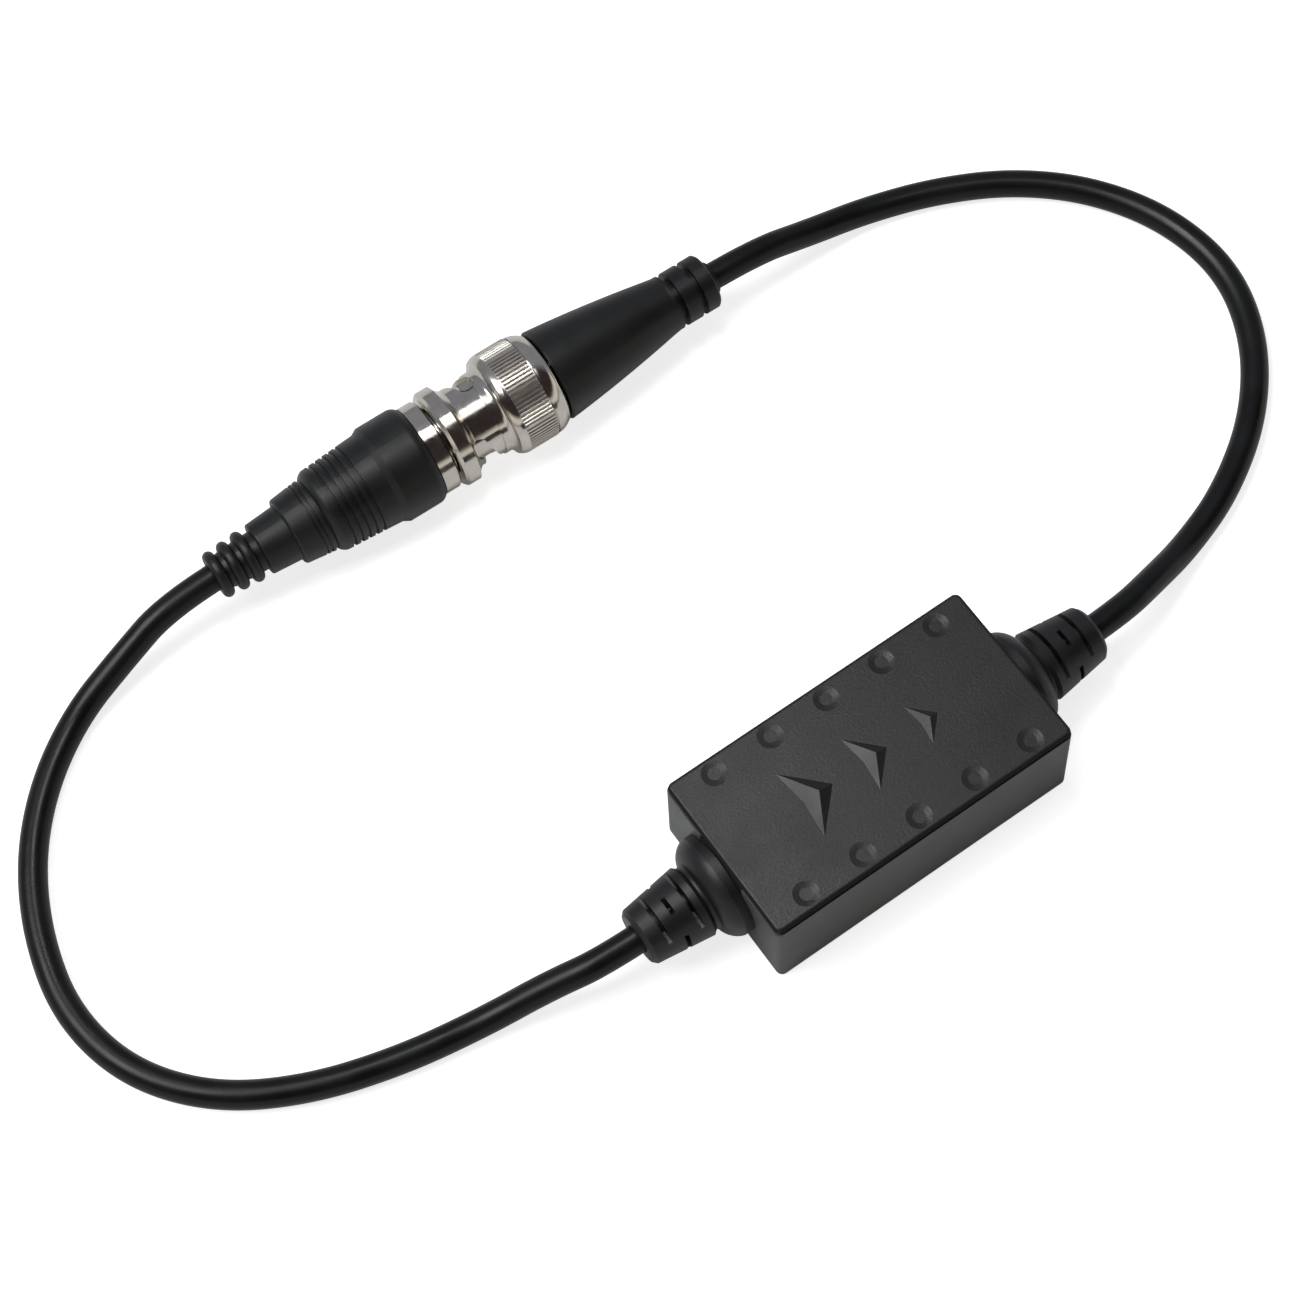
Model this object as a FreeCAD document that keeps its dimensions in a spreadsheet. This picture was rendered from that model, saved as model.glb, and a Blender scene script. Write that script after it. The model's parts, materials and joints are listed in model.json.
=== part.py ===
"""Video ground loop isolator: a flat moulded box with a coaxial pigtail out of each end.

The left pigtail ends in a bayonet jack and the right one in a bayonet plug, and the two are
mated and locked, as in the photograph. All lengths are in millimetres.

Frame: X runs along the box towards the pigtail with the plug, Z points up, and the origin
is the middle of the box's underside. The part rests on Z = 0.
"""
import FreeCAD
import Part
import Sketcher
import math
import os

Vector = FreeCAD.Vector
Rotation = FreeCAD.Rotation
Placement = FreeCAD.Placement
TINY = 1e-4

# How far a cutting shape reaches past the face that it cuts
CLEAR = 1

# Each bend of a cord takes this share of the shorter run beside it
BEND_SHARE = 0.45

# Driving dimensions

SIZES = {
    # Box: lower shell
    "case_length": 44.0,
    "case_foot_width": 24.2,
    "case_rim_width": 23.3,
    "case_rim_height": 13.9,
    "case_wall": 1.6,
    "case_floor": 1.6,
    "case_corner": 0.9,
    "case_foot_edge": 0.4,
    "rim_wall": 0.75,
    "rim_depth": 1.5,
    # Box: cover
    "case_height": 15.05,
    "reveal_height": 0.6,
    "cover_thickness": 1.4,
    "cover_inset": 0.1,
    "cover_edge": 0.5,
    "fit_gap": 0.05,
    # Dimples along both long edges of the cover
    "dimple_diameter": 3.3,
    "dimple_depth": 0.3,
    "dimple_slope": 70.0,
    "dimple_pitch": 8.3,
    "dimple_row_offset": 9.35,
    "dimple_middle": 0.4,
    "dimple_columns": 5,
    # Arrowheads on the cover: the first, and how the others shrink
    "arrow_length": 4.8,
    "arrow_half_span": 5.0,
    "arrow_notch": 0.6,
    "arrow_bevel": 2.0,
    "arrow_rise": 0.8,
    "arrow_sunk": 0.3,
    "arrow_tips_first": -10.3,
    "arrow_tips_second": -1.35,
    "arrow_tips_third": 7.35,
    "arrow_second_share": 0.81,
    "arrow_third_share": 0.59,
    # Grommets
    "grommet_height": 7.2,
    "grommet_neck_radius": 4.2,
    "grommet_flange_radius": 5.2,
    "grommet_flange_thickness": 1.5,
    "collar_radius": 6.9,
    "collar_flank_start": 1.2,
    "collar_flank_bulge": 3.0,
    "collar_length": 3.2,
    "waist_round": 0.6,
    "grommet_waist_radius": 4.4,
    "grommet_root_place": 4.3,
    "grommet_root_radius": 4.85,
    "grommet_end_radius": 3.85,
    "grommet_edge": 0.5,
    "grommet_length": 12.4,
    "slot_ring_width": 0.6,
    "slot_ring_floor": 2.9,
    "root_slots_place": 5.25,
    "middle_slots_place": 7.45,
    "tip_slots_place": 9.5,
    "side_bridge_radius": 2.3,
    "cross_bridge_radius": 1.65,
    "cross_bridge_angle": 37.0,
    # Coaxial cord
    "cord_diameter": 3.7,
    "cord_gap": 0.08,
    "cord_tuck": 3.0,
    "cord_lead": 6.5,
    "grommet_cord_lead": 4.6,
    "core_diameter": 2.3,
    "wire_diameter": 0.8,
    "braid_diameter": 1.1,
    # Board and what it carries
    "board_length": 30.0,
    "board_width": 17.0,
    "board_thickness": 1.2,
    "post_height": 1.8,
    "post_radius": 1.3,
    "post_pin_radius": 0.6,
    "post_pin_stand": 0.6,
    "post_spacing_along": 25.0,
    "post_spacing_across": 13.0,
    "toroid_diameter": 12.6,
    "toroid_bore": 6.6,
    "toroid_height": 4.6,
    "winding_thickness": 0.55,
    "winding_angle": 140.0,
    "disc_diameter": 6.4,
    "disc_thickness": 2.2,
    "disc_stand": 0.9,
    "disc_lead_spacing": 3.2,
    "disc_place": 10.2,
    "disc_offset": -3.4,
    "resistor_length": 3.6,
    "resistor_diameter": 1.8,
    "resistor_stand": 0.9,
    "resistor_place": -10.2,
    "resistor_reach": 3.2,
    "lead_diameter": 0.5,
    "strip_place": 17.0,
    "core_end_place": 15.6,
    "core_pad_place": 13.8,
    "braid_pad_place": 12.6,
    "braid_pad_offset": 4.2,
    # Where the mated pair lies
    "mating_place": -5.4,
    "mating_offset": 70.5,
    "pair_turn": -1.1,
    # Jack, measured back from the mating plane
    "jack_barrel_radius": 4.8,
    "jack_bore_radius": 4.07,
    "jack_bore_depth": 7.9,
    "jack_front_edge": 0.3,
    "jack_flange_start": 11.8,
    "jack_flange_end": 14.1,
    "jack_flange_radius": 6.35,
    "lug_place": 5.2,
    "lug_diameter": 2.0,
    "lug_span": 11.0,
    "lug_angle": 65.0,
    "tail_radius": 3.4,
    "tail_bore_radius": 2.4,
    "tail_length": 7.5,
    "dielectric_radius": 2.6,
    "jack_dielectric_start": 4.9,
    "jack_dielectric_end": 12.5,
    "socket_radius": 1.1,
    "socket_bore_radius": 0.72,
    "socket_setback": 0.2,
    "socket_bore_depth": 4.0,
    "socket_slot_width": 0.3,
    "contact_end": 14.5,
    "sleeve_overlap": 5.0,
    "sleeve_wall": 0.5,
    "jacket_setback": 9.0,
    # Jack boot
    "jack_boot_ribs": 3,
    "jack_boot_rib_pitch": 2.15,
    "jack_boot_first_rib": 40.4,
    "jack_boot_rib_width": 1.5,
    "jack_boot_rib_side": 0.3,
    "jack_boot_rib_rise": 0.6,
    "jack_boot_valley_radius": 2.75,
    "jack_boot_end_valley_radius": 2.4,
    "jack_boot_neck_radius": 3.65,
    "jack_boot_neck_start": 38.7,
    "jack_boot_neck_front_radius": 3.95,
    "jack_boot_neck_edge": 0.3,
    "jack_boot_step_place": 34.4,
    "jack_boot_step_radius": 4.75,
    "jack_boot_step_edge": 0.5,
    "jack_boot_step_front_radius": 5.2,
    "jack_boot_notch_place": 30.2,
    "jack_boot_notch_width": 0.3,
    "jack_boot_notch_radius": 4.95,
    "jack_boot_shoulder_place": 28.8,
    "jack_boot_shoulder_radius": 5.9,
    "jack_boot_shoulder_bulge": 1.8,
    "jack_boot_grip_radius": 6.45,
    "jack_boot_grip_front": 20.8,
    "jack_boot_head_back": 19.9,
    "jack_boot_head_radius": 6.95,
    "jack_boot_head_front": 15.4,
    "jack_boot_front_radius": 6.2,
    "jack_boot_front_bulge": 1.5,
    "grip_grooves": 5,
    "grip_groove_first": 23.35,
    "grip_groove_pitch": 1.05,
    "grip_groove_width": 0.5,
    "grip_groove_depth": 0.35,
    "step_grooves": 2,
    "step_groove_first": 30.6,
    "step_groove_pitch": 0.65,
    "step_groove_width": 0.3,
    "step_groove_depth": 0.25,
    # Plug, measured from the coupling ring's front edge
    "ring_reach": 11.3,
    "ring_bore_radius": 4.93,
    "ring_lip_radius": 6.9,
    "ring_lip_length": 2.1,
    "ring_lip_edge": 0.4,
    "ring_waist_start": 3.2,
    "ring_waist_radius": 5.6,
    "ring_waist_bulge": 2.6,
    "ring_step_place": 6.7,
    "ring_step_radius": 5.85,
    "ring_flare_start": 7.6,
    "ring_shoulder_place": 8.4,
    "ring_shoulder_radius": 6.8,
    "ring_flare_bulge": 1.2,
    "ring_shoulder_bulge": 2.2,
    "ring_knurl_start": 9.6,
    "ring_knurl_length": 4.3,
    "knurl_diameter": 14.5,
    "knurl_depth": 0.15,
    "knurl_count": 84,
    "ring_relief_width": 0.25,
    "ring_relief_radius": 6.75,
    "ring_bevel_front_radius": 7.15,
    "ring_bevel_bulge": 2.8,
    "ring_rear_round": 0.5,
    "ring_bevel_radius": 6.6,
    "ring_length": 16.35,
    "ring_rear_radius": 6.1,
    "ring_rear_bulge": 0.8,
    "ring_cavity_radius": 5.6,
    "slot_width": 2.4,
    "slot_cut_radius": 6.25,
    "slot_entry_depth": 3.3,
    "slot_clearance": 0.15,
    "ring_quarter": 90.0,
    "clip_place": 14.55,
    "clip_thickness": 0.6,
    "clip_outer_radius": 5.95,
    "clip_inner_radius": 4.5,
    "clip_gap_width": 2.5,
    "gasket_thickness": 0.6,
    "gasket_inner_radius": 4.08,
    "gasket_outer_radius": 4.75,
    "body_flange_radius": 5.45,
    "body_flange_thickness": 1.4,
    "body_neck_radius": 4.25,
    "washer_thickness": 0.25,
    "washer_outer_radius": 5.4,
    "spring_height": 0.75,
    "spring_strip": 0.25,
    "plug_tail_length": 6.75,
    "contact_sleeve_radius": 4.0,
    "contact_sleeve_bore": 2.75,
    "contact_sleeve_reach": 7.8,
    "contact_tip_length": 0.4,
    "contact_tip_drop": 0.2,
    "contact_tail_radius": 3.3,
    "contact_tail_length": 3.9,
    "contact_slot_width": 0.5,
    "contact_slot_length": 5.6,
    "pin_radius": 0.675,
    "pin_reach": 8.0,
    "pin_collar_radius": 1.1,
    "pin_collar_length": 3.0,
    # Plug boot
    "plug_boot_front_gap": 0.25,
    "plug_boot_front_radius": 6.5,
    "plug_boot_front_edge": 0.25,
    "plug_boot_taper_end": 17.6,
    "plug_boot_taper_radius": 4.1,
    "plug_boot_bulge": 220.0,
    "plug_boot_neck_place": 18.9,
    "plug_boot_neck_radius": 3.9,
    "plug_boot_ring_grooves": 2,
    "plug_boot_groove_first": 19.4,
    "plug_boot_groove_pitch": 2.95,
    "plug_boot_groove_width": 0.85,
    "plug_boot_groove_depth": 1.0,
    "plug_boot_end": 25.3,
    "plug_boot_end_radius": 3.6,
    "plug_boot_end_bevel": 0.3,
    "plug_boot_spout_radius": 2.45,
    "plug_boot_spout_length": 0.8,
    "plug_boot_spout_drop": 0.2,
}

# The pigtails' routes between their lead points, from the connector back to the box: the
# points are chosen by hand from the photograph, and Z is the middle of the cord

FLOOR = SIZES["cord_diameter"] / 2

LEFT_ROUTE = [
    (-66.0, 70.1, 4.0),
    (-74.5, 67.9, FLOOR),
    (-82.6, 62.2, FLOOR),
    (-89.2, 54.4, FLOOR),
    (-93.6, 44.8, FLOOR),
    (-95.6, 34.2, FLOOR),
    (-93.2, 23.6, FLOOR),
    (-86.4, 14.9, FLOOR),
    (-76.6, 9.1, FLOOR),
    (-65.4, 5.6, FLOOR),
    (-54.6, 3.8, FLOOR),
    (-46.2, 2.0, 5.1),
]

RIGHT_ROUTE = [
    (41.8, 69.4, 4.0),
    (50.7, 68.8, FLOOR),
    (60.3, 65.6, FLOOR),
    (69.7, 60.5, FLOOR),
    (77.5, 53.0, FLOOR),
    (82.7, 43.3, FLOOR),
    (84.0, 32.4, FLOOR),
    (80.1, 22.0, FLOOR),
    (72.5, 13.2, FLOOR),
    (62.6, 6.9, FLOOR),
    (53.6, 3.8, FLOOR),
    (45.8, 1.6, 5.1),
]

doc = FreeCAD.newDocument("video_ground_loop_isolator")
sheet = doc.addObject("Spreadsheet::Sheet", "sizes")


class Formula:
    """A size with the spreadsheet expression that it is bound to."""

    def __init__(self, value, text=None):
        self.value = float(value)
        self.text = text if text is not None else repr(float(value))

    @staticmethod
    def of(other):
        return other if isinstance(other, Formula) else Formula(other)

    def __add__(self, other):
        other = Formula.of(other)
        return Formula(self.value + other.value, f"({self.text} + {other.text})")

    def __radd__(self, other):
        return Formula.of(other) + self

    def __sub__(self, other):
        other = Formula.of(other)
        return Formula(self.value - other.value, f"({self.text} - {other.text})")

    def __rsub__(self, other):
        return Formula.of(other) - self

    def __mul__(self, other):
        other = Formula.of(other)
        return Formula(self.value * other.value, f"({self.text} * {other.text})")

    def __rmul__(self, other):
        return Formula.of(other) * self

    def __truediv__(self, other):
        other = Formula.of(other)
        return Formula(self.value / other.value, f"({self.text} / {other.text})")

    def __neg__(self):
        return Formula.of(0) - self


def cosine(angle):
    angle = Formula.of(angle)
    return Formula(math.cos(math.radians(angle.value)), f"cos({angle.text} * 1 deg)")


def sine(angle):
    angle = Formula.of(angle)
    return Formula(math.sin(math.radians(angle.value)), f"sin({angle.text} * 1 deg)")


class Dimensions:
    """Every driving dimension as a named formula."""


def fill_sheet():
    dims = Dimensions()
    for row, (name, value) in enumerate(SIZES.items(), start=1):
        sheet.set(f"A{row}", name)
        sheet.set(f"B{row}", str(value))
        sheet.setAlias(f"B{row}", name)
        setattr(dims, name, Formula(value, f"sizes.{name}"))
    doc.recompute()
    return dims


d = fill_sheet()

# Construction helpers


def bind(item, path, size):
    """Bind a property to a formula of the sheet."""
    item.setExpression(path, Formula.of(size).text)


def plane_sketch(body, role, name, offset=0, turn=0):
    """A sketch on one of the body's own planes, moved along its normal and turned about its X."""
    sketch = body.newObject("Sketcher::SketchObject", name)
    plane = [item for item in body.Origin.OriginFeatures if item.Role == role][0]
    sketch.AttachmentSupport = [(plane, "")]
    sketch.MapMode = "FlatFace"
    offset = Formula.of(offset)
    turn = Formula.of(turn)
    sketch.AttachmentOffset = Placement(Vector(0, 0, offset.value), Rotation(Vector(1, 0, 0), turn.value))
    if offset.text != "0.0":
        bind(sketch, "AttachmentOffset.Base.z", offset)
    if turn.text != "0.0":
        bind(sketch, "AttachmentOffset.Rotation.Angle", turn)
    return sketch


def constrain(sketch, rules):
    """Add (constraint, name, formula) rules in one go, then bind the named ones."""
    numbers = sketch.addConstraint([rule for rule, label, size in rules])
    for number, (rule, label, size) in zip(numbers, rules):
        if label is None:
            continue
        sketch.renameConstraint(number, label)
        if "sizes." in size.text:
            bind(sketch, f"Constraints.{label}", size)


def drawn_side(tail, head, bulge):
    """A straight side, or an arc that bulges to the left of its way if the radius is positive.

    Also given are the side's own numbers for its two ends: an arc always runs anticlockwise.
    """
    if bulge is None:
        return Part.LineSegment(tail, head), (1, 2)
    chord = head - tail
    half = chord.Length / 2
    radius = abs(bulge.value)
    outward = Vector(-chord.y, chord.x, 0).normalize() * math.copysign(1, bulge.value)
    centre = (tail + head) / 2 - outward * math.sqrt(radius ** 2 - half ** 2)
    first, last, ends = (head, tail, (2, 1)) if bulge.value > 0 else (tail, head, (1, 2))
    low = math.atan2(first.y - centre.y, first.x - centre.x)
    high = math.atan2(last.y - centre.y, last.x - centre.x)
    high += 2 * math.pi if high < low else 0
    return Part.ArcOfCircle(Part.Circle(centre, Vector(0, 0, 1), radius), low, high), ends


def draw_outline(sketch, outline):
    """Draw a closed outline of (across, up) vertices, each bound to its two formulas.

    A vertex may have a bulge radius as third value: the side that arrives there is an arc.
    """
    first = sketch.GeometryCount
    count = len(outline)
    corners = [[Formula.of(value) for value in vertex] for vertex in outline]
    points = [Vector(corner[0].value, corner[1].value, 0) for corner in corners]
    bulges = [corner[2] if len(corner) > 2 else None for corner in corners]
    bulges = bulges[1:] + bulges[:1]
    sides = [drawn_side(points[k], points[(k + 1) % count], bulges[k]) for k in range(count)]
    sketch.addGeometry([side for side, ends in sides], False)
    rules = []
    for k, (side, ends) in enumerate(sides):
        number = first + k
        after = (k + 1) % count
        joint = Sketcher.Constraint("Coincident", number, ends[1], first + after, sides[after][1][0])
        rules.append((joint, None, None))
        for size, kind, way in zip(corners[k], ("DistanceX", "DistanceY"), ("across", "up")):
            rule = Sketcher.Constraint(kind, -1, 1, number, ends[0], size.value)
            rules.append((rule, f"point{number}{way}", size))
        if bulges[k] is not None:
            size = bulges[k] if bulges[k].value > 0 else -bulges[k]
            rules.append((Sketcher.Constraint("Radius", number, size.value), f"bulge{number}", size))
    constrain(sketch, rules)


def draw_circle(sketch, across, up, radius):
    across, up, radius = Formula.of(across), Formula.of(up), Formula.of(radius)
    middle = Vector(across.value, up.value, 0)
    number = sketch.addGeometry(Part.Circle(middle, Vector(0, 0, 1), radius.value), False)
    constrain(sketch, [
        (Sketcher.Constraint("DistanceX", -1, 1, number, 3, across.value), f"circle{number}across", across),
        (Sketcher.Constraint("DistanceY", -1, 1, number, 3, up.value), f"circle{number}up", up),
        (Sketcher.Constraint("Radius", number, radius.value), f"circle{number}rim", radius),
    ])


def block_outline(low_across, high_across, low_up, high_up):
    return [(low_across, low_up), (high_across, low_up), (high_across, high_up), (low_across, high_up)]


def new_body(name):
    body = doc.addObject("PartDesign::Body", name)
    body.Label = name
    return body


def turned(name, outline, axis="H_Axis", angle=360, holes=()):
    """A body turned about its own X (or Z) from an outline of (along, radius) vertices."""
    body = new_body(name)
    sketch = plane_sketch(body, "XZ_Plane", f"{name}_profile")
    draw_outline(sketch, outline)
    for hole in holes:
        draw_outline(sketch, hole)
    feature = body.newObject("PartDesign::Revolution", f"{name}_turned")
    feature.Profile = sketch
    feature.ReferenceAxis = (sketch, [axis])
    feature.Angle = Formula.of(angle).value
    if "sizes." in Formula.of(angle).text:
        bind(feature, "Angle", angle)
        feature.Midplane = True
    return body


def padded(body, sketch, length, midplane=False, back=False):
    feature = body.newObject("PartDesign::Pad", f"{sketch.Name}_pad")
    feature.Profile = sketch
    feature.Length = Formula.of(length).value
    bind(feature, "Length", length)
    feature.Midplane = midplane
    feature.Reversed = back
    return feature


def pocketed(body, sketch, length, midplane=False, forward=False):
    """A pocket against the sketch's normal, or along it where forward is set."""
    feature = body.newObject("PartDesign::Pocket", f"{sketch.Name}_cut")
    feature.Profile = sketch
    feature.Length = Formula.of(length).value
    bind(feature, "Length", length)
    feature.Midplane = midplane
    feature.Reversed = forward
    return feature


def polar(body, originals, name, count):
    pattern = body.newObject("PartDesign::PolarPattern", name)
    pattern.Originals = originals
    axis = [item for item in body.Origin.OriginFeatures if item.Role == "X_Axis"][0]
    pattern.Axis = (axis, [""])
    pattern.Angle = 360
    pattern.Occurrences = int(Formula.of(count).value)
    if "sizes." in Formula.of(count).text:
        bind(pattern, "Occurrences", count)
    body.Tip = pattern
    return pattern


def ring_grooves(count, first, pitch, width, depth, start, end):
    """Outline vertices of ring grooves in a straight side between two (place, radius) ends."""
    slope = (end[1] - start[1]) / (end[0] - start[0])
    vertices = []
    for k in range(count):
        near = first + pitch * k
        far = near + width
        near_radius = start[1] + slope * (near - start[0])
        far_radius = start[1] + slope * (far - start[0])
        vertices += [
            (near, near_radius),
            (near, near_radius - depth),
            (far, near_radius - depth),
            (far, far_radius),
        ]
    return vertices


def chosen_edges(feature, wanted):
    doc.recompute()
    return [f"Edge{k + 1}" for k, edge in enumerate(feature.Shape.Edges) if wanted(edge)]


def rounded(body, feature, name, wanted, radius):
    fillet = body.newObject("PartDesign::Fillet", name)
    fillet.Base = (feature, chosen_edges(feature, wanted))
    fillet.Radius = Formula.of(radius).value
    bind(fillet, "Radius", radius)
    return fillet


def block(name, low, high):
    """A box between two corners given as formulas."""
    item = doc.addObject("Part::Box", name)
    for k, side in enumerate(("Length", "Width", "Height")):
        bind(item, side, Formula.of(high[k]) - low[k])
        bind(item, f"Placement.Base.{'xyz'[k]}", low[k])
    return item


def rod(name, radius, height, base, axis=(0, 0, 1), turn=0):
    """A cylinder from its base point, turned about an axis through that point."""
    item = doc.addObject("Part::Cylinder", name)
    bind(item, "Radius", radius)
    bind(item, "Height", height)
    turn = Formula.of(turn)
    item.Placement = Placement(Vector(0, 0, 0), Rotation(Vector(*axis), turn.value))
    if "sizes." in turn.text:
        bind(item, "Placement.Rotation.Angle", turn)
    for k, place in enumerate(base):
        bind(item, f"Placement.Base.{'xyz'[k]}", place)
    return item


def fused(name, items):
    joined = doc.addObject("Part::MultiFuse", name)
    joined.Shapes = items
    joined.Label = name
    return joined


def cut(name, base, tool):
    result = doc.addObject("Part::Cut", name)
    result.Base = base
    result.Tool = tool
    result.Label = name
    return result


def place(item, base, turn=0):
    """Put a finished sub-part at a point, turned about Z."""
    turn = Formula.of(turn)
    item.Placement = Placement(Vector(0, 0, 0), Rotation(Vector(0, 0, 1), turn.value))
    if turn.text != "0.0":
        bind(item, "Placement.Rotation.Angle", turn)
    for k, where in enumerate(base):
        bind(item, f"Placement.Base.{'xyz'[k]}", where)
    return item


NODES = []


def node(item):
    """Keep an object as a sub-part that gets a file of its own."""
    NODES.append(item)
    return item


# Places that several sub-parts share

pair_height = d.knurl_diameter / 2
pair_along = (cosine(d.pair_turn), sine(d.pair_turn))
mating_point = (d.mating_place, d.mating_offset, pair_height)
ring_point = (
    d.mating_place - d.ring_reach * pair_along[0],
    d.mating_offset - d.ring_reach * pair_along[1],
    pair_height,
)
cord_radius = d.cord_diameter / 2
cord_bore = cord_radius + d.cord_gap
wall_face = d.case_length / 2
cover_bottom = d.case_rim_height + d.reveal_height
board_bottom = d.case_floor + d.post_height
board_top = board_bottom + d.board_thickness
jack_jacket_end = d.jack_flange_end + d.jacket_setback
jack_boot_last_rib = d.jack_boot_first_rib + d.jack_boot_rib_pitch * (d.jack_boot_ribs - 1)
jack_boot_end = jack_boot_last_rib + d.jack_boot_rib_width / 2
body_shoulder = d.ring_reach + d.gasket_thickness
body_flange_end = body_shoulder + d.body_flange_thickness
plug_boot_start = d.ring_length + d.plug_boot_front_gap
plug_jacket_end = plug_boot_start + d.jacket_setback
plug_boot_tip = plug_boot_start + d.plug_boot_end + d.plug_boot_spout_length


def set_as_jack(item):
    return node(place(item, mating_point, d.pair_turn + 180))


def set_as_plug(item):
    return node(place(item, ring_point, d.pair_turn))


# The box


def at_a_corner(edge):
    """An edge that rises at a box's corner: it may lean in Y, as the drafted walls do."""
    box = edge.BoundBox
    return box.ZLength > TINY and box.XLength < TINY


def on_outline_at(height):
    return lambda edge: abs(edge.BoundBox.ZMin - height.value) < TINY and edge.BoundBox.ZLength < TINY


def casing_base():
    """The lower shell: drafted long walls, a rebate for the cover and four board posts."""
    body = new_body("casing_base_shell")
    section = plane_sketch(body, "YZ_Plane", "base_section")
    foot = d.case_foot_width / 2
    rim = d.case_rim_width / 2
    draw_outline(section, [(-foot, 0), (foot, 0), (rim, d.case_rim_height), (-rim, d.case_rim_height)])
    solid = padded(body, section, d.case_length, midplane=True)
    corners = rounded(body, solid, "base_corners", at_a_corner, d.case_corner)
    edge = rounded(body, corners, "base_foot_edge", on_outline_at(Formula.of(0)), d.case_foot_edge)
    inside = plane_sketch(body, "XY_Plane", "base_inside", d.case_rim_height)
    half_long = wall_face - d.case_wall
    half_wide = rim - d.case_wall
    draw_outline(inside, block_outline(-half_long, half_long, -half_wide, half_wide))
    pocketed(body, inside, d.case_rim_height - d.case_floor)
    rebate = plane_sketch(body, "XY_Plane", "base_rebate", d.case_rim_height)
    rebate_long = wall_face - d.rim_wall
    rebate_wide = rim - d.rim_wall
    draw_outline(rebate, block_outline(-rebate_long, rebate_long, -rebate_wide, rebate_wide))
    pocketed(body, rebate, d.rim_depth)
    mouth_radius = d.grommet_neck_radius + d.fit_gap
    mouth = plane_sketch(body, "YZ_Plane", "base_mouth")
    draw_circle(mouth, 0, d.grommet_height, mouth_radius)
    pocketed(body, mouth, d.case_length, midplane=True)
    way_in = plane_sketch(body, "YZ_Plane", "base_way_in")
    draw_outline(way_in, block_outline(-mouth_radius, mouth_radius, d.grommet_height, d.case_rim_height))
    pocketed(body, way_in, d.case_length, midplane=True)
    posts = [body]
    pin_length = d.post_height + d.board_thickness + d.post_pin_stand
    for along in (-1, 1):
        for across in (-1, 1):
            spot = (d.post_spacing_along * along / 2, d.post_spacing_across * across / 2, d.case_floor)
            tag = f"{'right' if along > 0 else 'left'}_{'back' if across > 0 else 'front'}"
            posts.append(rod(f"post_{tag}", d.post_radius, d.post_height, spot))
            posts.append(rod(f"post_pin_{tag}", d.post_pin_radius, pin_length, spot))
    node(fused("casing_base", posts))


def arrowhead(name, tips, share):
    """A low raised arrowhead: a dart whose ridge point leans to its front edges."""
    front = d.arrow_length * share
    span = d.arrow_half_span * share
    rise = d.arrow_rise * share
    top = SIZES["case_height"]
    start = tips.value
    sunk = Vector(0, 0, -SIZES["arrow_sunk"])
    upper = Vector(start, span.value, top)
    lower = Vector(start, -span.value, top)
    nose = Vector(start + front.value, 0, top)
    notch = Vector(start + (d.arrow_notch * share).value, 0, top)
    ridge = Vector(start + (front - d.arrow_bevel * share).value, 0, top + rise.value)
    outline = [upper, notch, lower, nose]
    faces = [Part.Face(Part.makePolygon([point + sunk for point in outline + [upper]]))]
    for k in range(4):
        tail, head = outline[k], outline[(k + 1) % 4]
        faces.append(Part.Face(Part.makePolygon([tail, head, ridge, tail])))
        faces.append(Part.Face(Part.makePolygon([tail, head, head + sunk, tail + sunk, tail])))
    item = doc.addObject("Part::Feature", name)
    item.Shape = Part.Solid(Part.makeShell(faces))
    return item


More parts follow.
